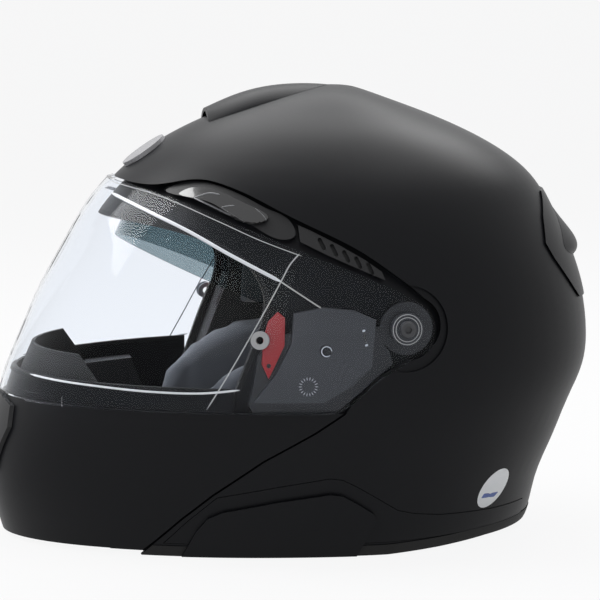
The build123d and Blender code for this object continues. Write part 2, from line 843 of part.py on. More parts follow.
# chin bar shell with its lip behind the visor and a flange along the foot
chin_points = [(x - seam_gap, z + seam_gap) for x, z in split_points]
chin_block = side_block(
    [
        (front_x, chin_bottom_z),
        (front_x, visor_bottom_z),
        (chin_points[0][0], visor_bottom_z),
        *chin_points[:-1],
        (x_on(chin_points, chin_bottom_z) - seam_gap, chin_bottom_z),
    ]
)
lip_block = box_block((front_x, visor_bottom_z - lip_overlap), (lip_rear_x, sill_z))
flange_block = box_block((front_x, chin_bottom_z), (flange_rear_x, chin_bottom_z + flange_wall))
window_middle_z = (chin_vent_window_low + chin_vent_window_top) / 2
window_height = chin_vent_window_top - chin_vent_window_low
inlet_width = chin_vent_window_width - 4 * button_round
inlet_height = window_height - 4 * button_round
chin_skin = layer(chin_block, 0, chin_wall)
lip_skin = layer(lip_block, lip_depth, chin_wall)
flange_skin = layer(flange_block, chin_wall / 2, flange_width)
with BuildPart() as chin_bar:
    add(chin_skin)
    add(lip_skin)
    add(flange_skin)
    with BuildSketch(Plane.XY):
        with Locations((button_x, 0)):
            RectangleRounded(
                button_length + 2 * slide_gap, button_width + 2 * slide_gap, button_round + slide_gap
            )
    extrude(amount=chin_bottom_z + flange_wall + overrun / 2, mode=Mode.SUBTRACT)
    with BuildSketch(Plane.YZ.offset(front_x)):
        with Locations((0, window_middle_z)):
            RectangleRounded(inlet_width, inlet_height, button_round)
    extrude(amount=half_length, mode=Mode.SUBTRACT)
write(chin_bar, "chin_bar")

# foam behind the chin bar shell, kept clear of the shell's sides as the bar swings up
liner_edge = [(x - 2 * trim_width, z) for x, z in reversed(eye_points[6:])]
chin_liner_block = side_block(
    [
        (front_x, liner_low_z),
        (front_x, liner_top_z),
        (liner_edge[-1][0], liner_top_z),
        *[(x, z) for x, z in reversed(liner_edge) if liner_low_z < z < liner_top_z],
        (liner_edge[0][0] - trim_width, liner_low_z),
    ]
)
chin_liner_skin = layer(chin_liner_block, chin_wall + seat_gap, chin_wall + seat_gap + chin_liner_wall)
sweep_bar = disc_block(pivot_x, pivot_z, chin_sweep_radius)
with BuildPart() as chin_liner:
    add(chin_liner_skin)
    add(sweep_bar, mode=Mode.SUBTRACT)
    with BuildSketch(Plane.XY):
        with Locations((button_x, 0)):
            RectangleRounded(button_length + 4 * slide_gap, button_width + 4 * slide_gap, button_round)
    extrude(amount=chin_bottom_z + button_height + button_travel + 2 * slide_gap, mode=Mode.SUBTRACT)
    with BuildSketch(Plane.XY.offset(latch_z - overrun / 2)):
        with Locations((latch_x - overrun / 2, half_width), (latch_x - overrun / 2, -half_width)):
            Rectangle(2 * overrun, half_width)
    extrude(amount=overrun, mode=Mode.SUBTRACT)
    with BuildSketch(Plane.YZ.offset(front_x)):
        with Locations((0, window_middle_z)):
            RectangleRounded(inlet_width, inlet_height, button_round)
    extrude(amount=half_length, mode=Mode.SUBTRACT)
write(chin_liner, "chin_liner")

# strip that seals the visor's lower edge, and the breath guard above the foam
seal_block = box_block((front_x, sill_z), (lip_rear_x, sill_z + seal_wall))
with BuildPart() as visor_seal:
    add(layer(seal_block, seal_depth, chin_wall))
write(visor_seal, "visor_seal")

guard_block = side_block(
    [
        (front_x, liner_top_z),
        (front_x, guard_top_z),
        (guard_rear_x - overrun / 2, guard_top_z),
        (guard_rear_x, liner_top_z),
    ]
)
with BuildPart() as breath_guard:
    add(layer(guard_block, guard_depth, guard_depth + guard_wall))
write(breath_guard, "breath_guard")

# vent in the middle of the chin bar: frame, shutter and inner grille
vent_edge = [(y_share * half_width, z_share * height) for y_share, z_share in chin_vent_shares]
vent_outline = vent_edge + [(-y, z) for y, z in reversed(vent_edge)]
with BuildPart() as vent_block:
    with BuildSketch(Plane.YZ.offset(front_x)):
        with BuildLine():
            Polyline(*vent_outline, close=True)
        make_face()
    extrude(amount=half_length)
with BuildPart() as shutter_block:
    with BuildSketch(Plane.YZ.offset(front_x)):
        with Locations((0, chin_vent_window_low + chin_shutter_height / 2 + 2 * slide_gap)):
            RectangleRounded(
                chin_vent_window_width - 2 * slide_gap, chin_shutter_height, button_round
            )
    extrude(amount=half_length)
with BuildPart() as grille_block:
    with BuildSketch(Plane.YZ.offset(front_x)):
        with Locations((0, (grille_low_z + grille_top_z) / 2)):
            RectangleRounded(2 * grille_half_width, grille_top_z - grille_low_z, button_round)
            with GridLocations(2 * button_round, 2 * button_round, 9, 5):
                Circle(button_round / 2, mode=Mode.SUBTRACT)
    extrude(amount=half_length)
with BuildPart() as chin_vent_frame:
    add(layer(vent_block.part, -chin_vent_proud, -seat_gap))
    with BuildSketch(Plane.YZ.offset(front_x)):
        with Locations((0, window_middle_z)):
            RectangleRounded(chin_vent_window_width, window_height, button_round)
    extrude(amount=half_length, mode=Mode.SUBTRACT)
write(chin_vent_frame, "chin_vent_frame")
with BuildPart() as chin_vent_shutter:
    add(layer(shutter_block.part, -seam_gap - chin_shutter_wall, -seam_gap))
write(chin_vent_shutter, "chin_vent_shutter")
grille_depth = chin_wall + chin_liner_wall + 2 * seat_gap
with BuildPart() as chin_grille:
    add(layer(grille_block.part, grille_depth, grille_depth + grille_wall))
write(chin_grille, "chin_grille")

# release button under the chin
with BuildPart() as release_button:
    with BuildSketch(Plane.XY.offset(chin_bottom_z)):
        with Locations((button_x, 0)):
            RectangleRounded(button_length, button_width, button_round)
    extrude(amount=button_height)
    fillet(release_button.faces().sort_by(Axis.Z)[0].edges(), radius=seam_gap)
write(release_button, "release_button")

# steel arm that carries the chin bar on each pivot, and the cover over it
arm_points = at(arm_shares)
with BuildPart() as arm_block:
    with BuildSketch(Plane.XZ):
        with BuildLine():
            Polyline(*arm_points, close=True)
        make_face()
        with Locations((pivot_x, pivot_z)):
            Circle(arm_hub_radius)
        with Locations((pivot_x, pivot_z)):
            Circle(pivot_radius + bore_gap, mode=Mode.SUBTRACT)
    extrude(amount=side_reach)
with BuildPart() as hub_region:
    with BuildSketch(Plane.XZ):
        with Locations((pivot_x, pivot_z)):
            Circle(arm_hub_radius + seam_gap)
    extrude(amount=side_reach)
release_pin_block = disc_block(release_pivot_x, release_pivot_z, release_pin_radius, near=0)
with BuildPart() as chin_arm:
    add(layer(arm_block.part, arm_depth, arm_depth + arm_wall))
    add(hub_region.part, mode=Mode.SUBTRACT)
    with BuildSketch(Plane.XZ.offset(hub_top_y - arm_wall)):
        with Locations((pivot_x, pivot_z)):
            Circle(arm_hub_radius)
        with Locations((pivot_x, pivot_z)):
            Circle(pivot_radius + bore_gap, mode=Mode.SUBTRACT)
    extrude(amount=arm_wall)
    with BuildSketch(Plane.XZ.offset(hub_top_y - arm_wall)):
        with Locations((pivot_x - arm_hub_radius, pivot_z - arm_hub_radius / 4)):
            Rectangle(hub_step_width, hub_step_height)
        with Locations((pivot_x, pivot_z)):
            Circle(visor_hub_radius + hub_gap, mode=Mode.SUBTRACT)
    extrude(amount=arm_wall + seam_gap)
    add(layer(release_pin_block, release_depth + seat_gap, arm_depth + arm_wall / 2))
write_both_sides(chin_arm, "chin_arm")

cover_block = side_block(at(cover_shares), near=0)
cover_skin = layer(cover_block, cover_depth, arm_depth - seat_gap)
with BuildPart() as arm_cover:
    add(cover_skin)
    with BuildSketch(Plane.XZ):
        with Locations((screw_x, screw_z)):
            Circle(screw_radius + seat_gap)
        with Locations((pivot_x, pivot_z)):
            Circle(visor_hub_radius + hub_gap)
        with BuildLine():
            Polyline(
                (front_x, visor_bottom_z - lip_overlap),
                (front_x, sill_z + seam_gap),
                (lip_rear_x + seam_gap, sill_z + seam_gap),
                (lip_rear_x + seam_gap, visor_bottom_z + seam_gap),
                (pivot_x, visor_bottom_z + seam_gap),
                (pivot_x, visor_bottom_z - lip_overlap),
                close=True,
            )
        make_face()
    extrude(amount=side_reach, mode=Mode.SUBTRACT)
write_both_sides(arm_cover, "arm_cover")

screw_block = disc_block(screw_x, screw_z, screw_radius, near=0)
with BuildPart() as cover_screw:
    add(layer(screw_block, cover_depth + seat_gap, arm_depth - seat_gap))
    with BuildSketch(Plane.XZ.offset(surface_y(screw_x, screw_z))):
        with Locations((screw_x, screw_z)):
            RegularPolygon(screw_radius / 2, 6)
    extrude(amount=-cover_depth - seat_gap - cap_socket_depth / 2, mode=Mode.SUBTRACT)
write_pair(cover_screw, "cover_screws")

release_skin = layer(side_block(at(release_shares), near=0), release_depth, arm_depth - seat_gap)
with BuildPart() as visor_release:
    add(release_skin)
    with BuildSketch(Plane.XZ):
        with Locations((release_pivot_x, release_pivot_z)):
            Circle(release_pin_radius + bore_gap)
    extrude(amount=side_reach, mode=Mode.SUBTRACT)
write_both_sides(visor_release, "visor_release")

# latch hook on the chin bar, its pivot, and the striker on the shell
hook_reach = latch_pin_radius + 2 * seat_gap
with BuildPart() as hook_block:
    with BuildSketch(Plane.XZ):
        with Locations((latch_pivot_x, latch_pivot_z)):
            Circle(3 * latch_pivot_radius)
        with BuildLine():
            Polyline(
                (latch_pivot_x - 2 * latch_pivot_radius, latch_pivot_z),
                (latch_x - hook_reach, latch_pivot_z),
                (latch_x - hook_reach, latch_z - 2 * latch_pin_radius),
                (latch_x - hook_reach - latch_pin_radius, latch_z - 3 * latch_pin_radius),
                (latch_x - 3 * hook_reach, latch_z),
                close=True,
            )
        make_face()
        with Locations((latch_pivot_x, latch_pivot_z)):
            Circle(latch_pivot_radius + bore_gap, mode=Mode.SUBTRACT)
    extrude(amount=side_reach)
with BuildPart() as latch_hook:
    add(layer(hook_block.part, latch_hook_depth, latch_hook_depth + latch_hook_wall))
write_both_sides(latch_hook, "latch_hook")

latch_pin_block = disc_block(latch_pivot_x, latch_pivot_z, latch_pivot_radius, near=0)
with BuildPart() as latch_pin:
    add(layer(latch_pin_block, chin_wall + bore_gap, latch_hook_depth + latch_hook_wall + seam_gap))
write_pair(latch_pin, "latch_pins")

striker_back = striker_depth + striker_wall
striker_pin_block = disc_block(latch_x, latch_z, latch_pin_radius, near=0)
striker_foot_block = disc_block(striker_rear_x - 2 * latch_pin_radius, latch_z, latch_pin_radius, near=0)
with BuildPart() as striker:
    add(layer(side_block(striker_points, near=0), striker_depth, striker_back))
    add(layer(striker_pin_block, latch_hook_depth + seat_gap, striker_back))
    add(layer(striker_foot_block, recess_depth + recess_wall + bore_gap, striker_back))
write_pair(striker, "strikers")

# skirt panel below the crease on each side, and the cover plate on it
with BuildPart() as side_skirt:
    add(layer(side_block(skirt_points, near=0), -skirt_proud, skirt_pocket - seat_gap))
write_both_sides(side_skirt, "side_skirt")

cover_foot_block = side_block(at(side_cover_shares), near=0)
with BuildPart() as side_cover:
    add(layer(cover_foot_block, -skirt_proud - seat_gap - side_cover_wall, -skirt_proud - seat_gap))
write_both_sides(side_cover, "side_cover")

# ribbed side louvre between the visor and the shell
with BuildPart() as louvre_slots:
    with BuildSketch(Plane.XZ):
        for turn in range(louvre_slot_count):
            slot_x = louvre_slot_x + turn * louvre_slot_pitch
            with Locations((slot_x, louvre_slot_z - turn * louvre_slot_fall)):
                SlotOverall(louvre_slot_length, louvre_slot_width, rotation=louvre_slot_lean)
    extrude(amount=side_reach)
    add(hull(louvre_depth + louvre_slot_depth), mode=Mode.SUBTRACT)
with BuildPart() as side_louvre:
    add(layer(side_block(at(louvre_shares), near=0), louvre_depth, recess_depth - seat_gap / 3))
    add(louvre_slots.part, mode=Mode.SUBTRACT)
write_both_sides(side_louvre, "side_louvre")

with BuildPart() as brow_frame:
    add(layer(smooth_block(at(brow_frame_shares), near=0), frame_depth, recess_depth - seat_gap / 3))
write_both_sides(brow_frame, "brow_frame")

with BuildPart() as brow_slider:
    add(layer(smooth_block(at(brow_slider_shares), near=0), slider_depth, slider_depth + slider_wall))
write_both_sides(brow_slider, "brow_slider")

# intake vent on the crown and its shutter
seat_form = hull(-seat_gap / 3)
with BuildPart() as top_vent:
    for x_share, top_share, width_share, round_share in top_vent_shares:
        with BuildSketch(Plane.YZ.offset(x_share * half_length)):
            with Locations((0, top_share * height - round_share * vent_round)):
                Ellipse(width_share * vent_half_width, round_share * vent_round)
    loft()
    add(seat_form, mode=Mode.SUBTRACT)
    for x_share, top_share, width_share, round_share in top_vent_shares[:3]:
        with BuildSketch(Plane.YZ.offset(x_share * half_length)):
            with Locations((0, top_share * height - vent_wall - round_share * vent_round)):
                Ellipse(width_share * vent_half_width - 2 * vent_wall, round_share * vent_round)
    loft(mode=Mode.SUBTRACT)
write(top_vent, "top_vent")

shutter_hit, shutter_normal = outer_form.find_intersection_points(
    Axis((shutter_x, 0, height + overrun), (0, 0, -1))
)[0]
shutter_plane = Plane(origin=shutter_hit, x_dir=(0, 1, 0), z_dir=shutter_normal)
with BuildPart() as top_slider:
    with BuildSketch(shutter_plane.offset(seat_gap)):
        RectangleRounded(shutter_width, shutter_length, button_round)
    extrude(amount=shutter_wall)
write(top_slider, "top_slider")

# exhaust panel high on the back and the raised lip on it
with BuildPart() as rear_vent:
    add(layer(side_block(at(rear_vent_shares)), -rear_vent_proud, -seat_gap / 3))
write(rear_vent, "rear_vent")
panel_form = hull(-rear_vent_proud - seat_gap / 3)
with BuildPart() as rear_spoiler:
    for z_share, reach_share, width_share in spoiler_shares:
        with BuildSketch(Plane.XY.offset(z_share * height)):
            with Locations((widest_x, 0)):
                Ellipse(reach_share * half_length - widest_x, width_share * half_width)
    loft()
    add(panel_form, mode=Mode.SUBTRACT)
write(rear_spoiler, "rear_spoiler")

# plain round badge on the forehead
badge_hits = outer_form.find_intersection_points(Axis((badge_x, 0, height + overrun), (0, 0, -1)))
badge_point, badge_normal = badge_hits[0]
with BuildPart() as forehead_badge:
    with BuildSketch(Plane(origin=badge_point, z_dir=badge_normal).offset(-badge_wall)):
        Circle(badge_radius)
    extrude(amount=2 * badge_wall)
    add(seat_form, mode=Mode.SUBTRACT)
write(forehead_badge, "forehead_badge")

# chin straps on rivets inside the shell, with their buckle
anchor_y = surface_y(strap_x, anchor_z) - anchor_depth


def strap(end_y, end_z):
    """A webbing strap from its rivet down and inwards to a buckle end, on the left side."""
    with BuildPart() as webbing:
        with BuildSketch(Plane.YZ.offset(strap_x - strap_width / 2)):
            with BuildLine() as route:
                FilletPolyline(
                    (-anchor_y, strap_top_z),
                    (-anchor_y, strap_turn_z),
                    (-strap_low_y, strap_low_z + strap_wall),
                    (-end_y, end_z),
                    radius=strap_bend,
                )
            trace(line_width=strap_wall)
        extrude(amount=strap_width)
        with BuildSketch(Plane.XZ.offset(anchor_y - overrun / 2)):
            with Locations((strap_x, anchor_z)):
                Circle(anchor_shank_radius + bore_gap)
        extrude(amount=overrun, mode=Mode.SUBTRACT)
    return webbing


strap_end_z = buckle_low_z + buckle_wall + seat_gap + strap_wall / 2
chin_strap_left = strap(buckle_far_y - lug_length / 3, strap_end_z)
write(chin_strap_left, "chin_strap_left")
tongue_top_z = buckle_low_z + buckle_wall + seat_gap + tongue_wall
right_webbing = strap(-tongue_near_y - 2 * strap_wall, tongue_top_z + seat_gap + strap_wall / 2)
with BuildPart() as chin_strap_right:
    mirror(right_webbing.part, about=Plane.XZ)
write(chin_strap_right, "chin_strap_right")

shell_face_form = hull(shell_wall + bore_gap)
with BuildPart() as strap_rivet:
    with BuildSketch(Plane.XZ.offset(anchor_y - strap_wall / 2 - seat_gap - anchor_wall)):
        with Locations((strap_x, anchor_z)):
            Circle(anchor_radius)
    extrude(amount=anchor_wall)
    with BuildSketch(Plane.XZ.offset(anchor_y - strap_wall / 2 - seat_gap)):
        with Locations((strap_x, anchor_z)):
            Circle(anchor_shank_radius)
    extrude(amount=anchor_depth + strap_wall + overrun)
    add(shell_face_form, mode=Mode.INTERSECT)
write_pair(strap_rivet, "strap_rivets")

buckle_middle_y = (buckle_near_y + buckle_far_y) / 2
hinge_z = tongue_top_z + seat_gap + strap_wall + lever_wall / 2
with BuildPart() as buckle_base:
    with BuildSketch(Plane.XY.offset(buckle_low_z)):
        with Locations((strap_x, -buckle_middle_y)):
            RectangleRounded(buckle_width, buckle_far_y - buckle_near_y, button_round)
    extrude(amount=buckle_wall)
    with BuildSketch(Plane.XY.offset(buckle_low_z)):
        for side in (1, -1):
            with Locations((strap_x + side * (buckle_width - lug_wall) / 2, -hinge_y)):
                Rectangle(lug_wall, lug_length)
    extrude(amount=hinge_z + hinge_radius + lug_wall - buckle_low_z)
    with BuildSketch(Plane.YZ.offset(strap_x - buckle_width / 2)):
        with Locations((-hinge_y, hinge_z)):
            Circle(hinge_radius)
    extrude(amount=buckle_width)
write(buckle_base, "buckle_base")

with BuildPart() as buckle_tongue:
    with BuildSketch(Plane.XY.offset(tongue_top_z - tongue_wall)):
        with Locations((strap_x, -(tongue_near_y + tongue_far_y) / 2)):
            RectangleRounded(tongue_width, tongue_far_y - tongue_near_y, button_round)
    extrude(amount=tongue_wall)
write(buckle_tongue, "buckle_tongue")

lever_width = buckle_width - 2 * lug_wall - 2 * slide_gap
lever_near_y = buckle_near_y + strap_wall
with BuildPart() as buckle_lever:
    with BuildSketch(Plane.XY.offset(hinge_z - lever_wall / 2)):
        with Locations((strap_x, -(lever_near_y + hinge_y) / 2)):
            Rectangle(lever_width, hinge_y - lever_near_y)
    extrude(amount=lever_wall)
    with BuildSketch(Plane.YZ.offset(strap_x - lever_width / 2)):
        with Locations((-hinge_y, hinge_z)):
            Circle(lever_wall)
    extrude(amount=lever_width)
    with BuildSketch(Plane.YZ.offset(strap_x - lever_width / 2)):
        with Locations((-hinge_y, hinge_z)):
            Circle(hinge_radius + bore_gap)
    extrude(amount=lever_width, mode=Mode.SUBTRACT)
write(buckle_lever, "buckle_lever")
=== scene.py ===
import json
import math
import bpy
import bmesh
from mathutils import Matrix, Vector
from mathutils.bvhtree import BVHTree


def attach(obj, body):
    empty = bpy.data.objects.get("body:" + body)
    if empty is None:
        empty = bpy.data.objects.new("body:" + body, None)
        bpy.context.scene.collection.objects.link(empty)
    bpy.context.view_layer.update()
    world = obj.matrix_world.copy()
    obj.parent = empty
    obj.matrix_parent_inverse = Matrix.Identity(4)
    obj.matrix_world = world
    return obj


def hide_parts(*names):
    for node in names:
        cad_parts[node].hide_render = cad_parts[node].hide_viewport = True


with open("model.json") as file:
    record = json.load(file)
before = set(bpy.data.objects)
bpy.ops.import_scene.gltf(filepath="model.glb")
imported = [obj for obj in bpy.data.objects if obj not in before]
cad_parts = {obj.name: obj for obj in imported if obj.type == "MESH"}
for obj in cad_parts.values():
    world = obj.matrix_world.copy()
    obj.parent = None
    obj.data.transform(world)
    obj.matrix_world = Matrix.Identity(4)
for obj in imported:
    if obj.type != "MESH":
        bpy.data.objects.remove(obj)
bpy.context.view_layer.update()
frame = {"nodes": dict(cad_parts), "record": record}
cadNodes = frame["nodes"]
slotOfNode = {part["node"]: part["material_slot"] for part in frame["record"]["subparts"]}
bodyGroups = frame["record"]["behaviour"]["bodies"]
bodyOfNode = {node: body for body, group in bodyGroups.items() for node in group}
mm = 0.001
left, right = -1, 1   # the wearer's left side lies towards -Y
bothSides = ((left, "Left"), (right, "Right"))
print("frame loaded:", len(cadNodes), "pieces")


# shared shader groups: each takes a scale and a slow drift, and gives a bump height and a mask

def startGroup(name):
    group = bpy.data.node_groups.new(name, "ShaderNodeTree")
    for label in ("Scale", "Drift"):
        group.interface.new_socket(name=label, in_out="INPUT", socket_type="NodeSocketFloat")
    for label in ("Height", "Mask"):
        group.interface.new_socket(name=label, in_out="OUTPUT", socket_type="NodeSocketFloat")
    return group, group.nodes.new("NodeGroupInput"), group.nodes.new("NodeGroupOutput")


def mathNode(tree, operation, first, second):
    node = tree.nodes.new("ShaderNodeMath")
    node.operation = operation
    for place, value in enumerate((first, second)):
        if isinstance(value, (int, float)):
            node.inputs[place].default_value = value
        else:
            tree.links.new(value, node.inputs[place])
    return node.outputs[0]


def noiseNode(tree, coords, scale, detail=3.0):
    node = tree.nodes.new("ShaderNodeTexNoise")
    node.inputs["Detail"].default_value = detail
    tree.links.new(coords, node.inputs["Vector"])
    tree.links.new(scale, node.inputs["Scale"])
    return node.outputs["Fac"]


def mixNode(tree, fine, slow, fineShare):   # the slow pattern has what the fine one leaves
    return mathNode(tree, "ADD", mathNode(tree, "MULTIPLY", fine, fineShare),
                    mathNode(tree, "MULTIPLY", slow, 1.0 - fineShare))


grainValues = {"slowDetail": 5.0, "fineShare": 0.35}


def makeGrainGroup():   # moulded or sprayed surface: fine pimples and slow drift
    group, inside, outside = startGroup("fineGrain")
    coords = group.nodes.new("ShaderNodeTexCoord").outputs["Object"]
    fine = noiseNode(group, coords, inside.outputs["Scale"])
    slow = noiseNode(group, coords, inside.outputs["Drift"], grainValues["slowDetail"])
    group.links.new(fine, outside.inputs["Height"])
    group.links.new(mixNode(group, fine, slow, grainValues["fineShare"]), outside.inputs["Mask"])
    return group


knitValues = {"distortion": 1.2, "detail": 1.0, "slowDetail": 4.0, "fineShare": 0.3}


def makeKnitGroup():   # crossed threads with a little unevenness
    group, inside, outside = startGroup("knit")
    coords = group.nodes.new("ShaderNodeTexCoord").outputs["Object"]
    rows = []
    for direction in ("X", "Y", "Z"):
        wave = group.nodes.new("ShaderNodeTexWave")
        wave.bands_direction = direction
        wave.inputs["Distortion"].default_value = knitValues["distortion"]
        wave.inputs["Detail"].default_value = knitValues["detail"]
        group.links.new(coords, wave.inputs["Vector"])
        group.links.new(inside.outputs["Scale"], wave.inputs["Scale"])
        rows.append(wave.outputs["Fac"])
    crossed = mathNode(group, "MULTIPLY", mathNode(group, "ADD", rows[0], rows[1]), rows[2])
    slow = noiseNode(group, coords, inside.outputs["Drift"], knitValues["slowDetail"])
    group.links.new(crossed, outside.inputs["Height"])
    group.links.new(mixNode(group, crossed, slow, knitValues["fineShare"]), outside.inputs["Mask"])
    return group


beadValues = {"fineShare": 0.5}


def makeBeadGroup():   # pressed foam beads
    group, inside, outside = startGroup("foamBeads")
    coords = group.nodes.new("ShaderNodeTexCoord").outputs["Object"]
    cells = group.nodes.new("ShaderNodeTexVoronoi")
    group.links.new(coords, cells.inputs["Vector"])
    group.links.new(inside.outputs["Scale"], cells.inputs["Scale"])
    slow = noiseNode(group, coords, inside.outputs["Drift"])
    distance = cells.outputs["Distance"]
    group.links.new(mathNode(group, "SUBTRACT", 1.0, distance), outside.inputs["Height"])
    group.links.new(mixNode(group, distance, slow, beadValues["fineShare"]), outside.inputs["Mask"])
    return group


brushedValues = {"stretch": (0.08, 1.0, 3.0), "lineDetail": 6.0, "fineShare": 0.6}


def makeBrushedGroup():   # fine lines along the metal
    group, inside, outside = startGroup("brushed")
    coords = group.nodes.new("ShaderNodeTexCoord").outputs["Object"]
    stretch = group.nodes.new("ShaderNodeMapping")
    stretch.inputs["Scale"].default_value = brushedValues["stretch"]
    group.links.new(coords, stretch.inputs["Vector"])
    lines = noiseNode(group, stretch.outputs["Vector"], inside.outputs["Scale"],
                      brushedValues["lineDetail"])
    slow = noiseNode(group, coords, inside.outputs["Drift"])
    group.links.new(lines, outside.inputs["Height"])
    group.links.new(mixNode(group, lines, slow, brushedValues["fineShare"]), outside.inputs["Mask"])
    return group


surfaceGroups = {"grain": makeGrainGroup(), "knit": makeKnitGroup(), "beads": makeBeadGroup(),
                 "brushed": makeBrushedGroup()}

# each finish: pattern, its scale and drift, two colours, two roughness values, bump strength,
# bump depth in mm, then plain sockets
finishes = {
    "shell_paint": dict(pattern="grain", scale=1500.0, drift=7.0,
                        colours=((0.004, 0.0043, 0.0054), (0.0062, 0.0066, 0.008)),
                        rough=(0.36, 0.46), bump=0.1, depth=0.04, sockets={"Specular IOR Level": 0.12}),
    "black_plastic": dict(pattern="grain", scale=1300.0, drift=12.0,
                          colours=((0.007, 0.0072, 0.008), (0.012, 0.0122, 0.0135)),
                          rough=(0.4, 0.55), bump=0.16, depth=0.06, sockets={"Specular IOR Level": 0.3}),
    "gloss_plastic": dict(pattern="grain", scale=300.0, drift=10.0,
                          colours=((0.006, 0.0062, 0.007), (0.01, 0.0103, 0.0115)),
                          rough=(0.09, 0.15), bump=0.02, depth=0.03, sockets={"Coat Weight": 0.7}),
    "rubber": dict(pattern="grain", scale=900.0, drift=14.0,
                   colours=((0.007, 0.007, 0.0072), (0.014, 0.014, 0.0143)),
                   rough=(0.62, 0.78), bump=0.2, depth=0.1, sockets={"Specular IOR Level": 0.25}),
    "foam": dict(pattern="beads", scale=420.0, drift=16.0,
                 colours=((0.01, 0.01, 0.0112), (0.022, 0.022, 0.0245)),
                 rough=(0.7, 0.85), bump=0.25, depth=0.2, sockets={"Specular IOR Level": 0.25}),
    "padding": dict(pattern="knit", scale=620.0, drift=26.0,
                    colours=((0.09, 0.095, 0.106), (0.14, 0.146, 0.16)),
                    rough=(0.8, 0.95), bump=0.22, depth=0.15,
                    sockets={"Sheen Weight": 0.25, "Sheen Roughness": 0.6}),
    "webbing": dict(pattern="knit", scale=600.0, drift=40.0,
                    colours=((0.01, 0.01, 0.011), (0.022, 0.022, 0.024)),
                    rough=(0.7, 0.85), bump=0.5, depth=0.3, sockets={"Sheen Weight": 0.2}),
    "steel": dict(pattern="brushed", scale=420.0, drift=50.0,
                  colours=((0.36, 0.37, 0.39), (0.5, 0.51, 0.53)),
                  rough=(0.24, 0.4), bump=0.12, depth=0.05, sockets={"Metallic": 1.0}),
    "coatedSteel": dict(pattern="brushed", scale=160.0, drift=24.0,
                        colours=((0.012, 0.0125, 0.014), (0.022, 0.023, 0.026)),
                        rough=(0.34, 0.5), bump=0.08, depth=0.05, sockets={"Specular IOR Level": 0.35}),
    "armPlate": dict(pattern="brushed", scale=26.0, drift=9.0,
                     colours=((0.022, 0.023, 0.026), (0.062, 0.064, 0.07)),
                     rough=(0.3, 0.5), bump=0.05, depth=0.05, sockets={"Specular IOR Level": 0.4}),
    "red": dict(pattern="grain", scale=900.0, drift=18.0,
                colours=((0.29, 0.0015, 0.005), (0.36, 0.003, 0.008)),
                rough=(0.3, 0.42), bump=0.08, depth=0.05, sockets={}),
    "white_plastic": dict(pattern="grain", scale=900.0, drift=20.0,
                          colours=((0.74, 0.76, 0.78), (0.82, 0.84, 0.86)),
                          rough=(0.3, 0.4), bump=0.05, depth=0.04, sockets={}),
    "pinGrey": dict(pattern="grain", scale=700.0, drift=70.0,
                    colours=((0.24, 0.245, 0.255), (0.46, 0.47, 0.48)),
                    rough=(0.35, 0.5), bump=0.06, depth=0.05, sockets={}),
    # painted highlight: a pale colour for strips that stand in for light caught by edges and steps
    "paintedHighlight": dict(pattern="grain", scale=600.0, drift=45.0,
                       colours=((0.52, 0.54, 0.58), (0.86, 0.88, 0.92)),
                       rough=(0.15, 0.3), bump=0.03, depth=0.03, sockets={}),
    # painted highlight on the brow vent lens
    "paintedSoftHighlight": dict(pattern="grain", scale=500.0, drift=60.0,
                      colours=((0.07, 0.072, 0.078), (0.16, 0.165, 0.175)),
                      rough=(0.2, 0.35), bump=0.03, depth=0.03, sockets={}),
    "silver": dict(pattern="brushed", scale=900.0, drift=60.0,
                   colours=((0.2, 0.2, 0.21), (0.3, 0.3, 0.31)),
                   rough=(0.4, 0.52), bump=0.08, depth=0.04, sockets={"Metallic": 0.7}),
    "blueStripe": dict(pattern="grain", scale=500.0, drift=90.0,
                       colours=((0.045, 0.07, 0.3), (0.09, 0.17, 0.4)),
                       rough=(0.35, 0.45), bump=0.05, depth=0.04, sockets={}),
    # grey print for the dial ticks and pivot rings; on the visor's thinner edge lines it is a painted
    # highlight
    "greyPrintAndHighlight": dict(pattern="grain", scale=800.0, drift=40.0,
                      colours=((0.34, 0.35, 0.36), (0.5, 0.51, 0.52)),
                      rough=(0.45, 0.6), bump=0.05, depth=0.03, sockets={}),
}


def spreadNode(tree, value, fromBand, toBand):   # stretches one band of values over another
    spread = tree.nodes.new("ShaderNodeMapRange")
    spread.inputs["From Min"].default_value, spread.inputs["From Max"].default_value = fromBand
    spread.inputs["To Min"].default_value, spread.inputs["To Max"].default_value = toBand
    tree.links.new(value, spread.inputs["Value"])
    return spread.outputs["Result"]


maskBand = (0.3, 0.7)   # the values of a mask that carry roughness from its least to its most


def makeFinish(name, values):
    material = bpy.data.materials.new(name)
    material.use_nodes = True
    tree = material.node_tree
    surface = tree.nodes["Principled BSDF"]
    pattern = tree.nodes.new("ShaderNodeGroup")
    pattern.node_tree = surfaceGroups[values["pattern"]]
    pattern.inputs["Scale"].default_value = values["scale"]
    pattern.inputs["Drift"].default_value = values["drift"]
    tint = tree.nodes.new("ShaderNodeMix")
    tint.data_type = "RGBA"
    tint.inputs["A"].default_value = (*values["colours"][0], 1.0)
    tint.inputs["B"].default_value = (*values["colours"][1], 1.0)
    bump = tree.nodes.new("ShaderNodeBump")
    bump.inputs["Strength"].default_value = values["bump"]
    bump.inputs["Distance"].default_value = values["depth"] * mm
    tree.links.new(pattern.outputs["Mask"], tint.inputs["Factor"])
    tree.links.new(pattern.outputs["Height"], bump.inputs["Height"])
    tree.links.new(tint.outputs["Result"], surface.inputs["Base Color"])
    roughness = spreadNode(tree, pattern.outputs["Mask"], maskBand, values["rough"])
    tree.links.new(roughness, surface.inputs["Roughness"])
    tree.links.new(bump.outputs["Normal"], surface.inputs["Normal"])
    for label, value in values["sockets"].items():
        surface.inputs[label].default_value = value
    return material


glasses = {
    "clear": dict(colour=(0.94, 0.962, 0.995), rough=(0.0, 0.008), scale=40.0),
    "tinted": dict(colour=(0.3, 0.37, 0.39), rough=(0.0, 0.01), scale=60.0),
}
glassValues = {"refraction": 1.12, "drift": 6.0, "maskBand": (0.35, 0.75)}


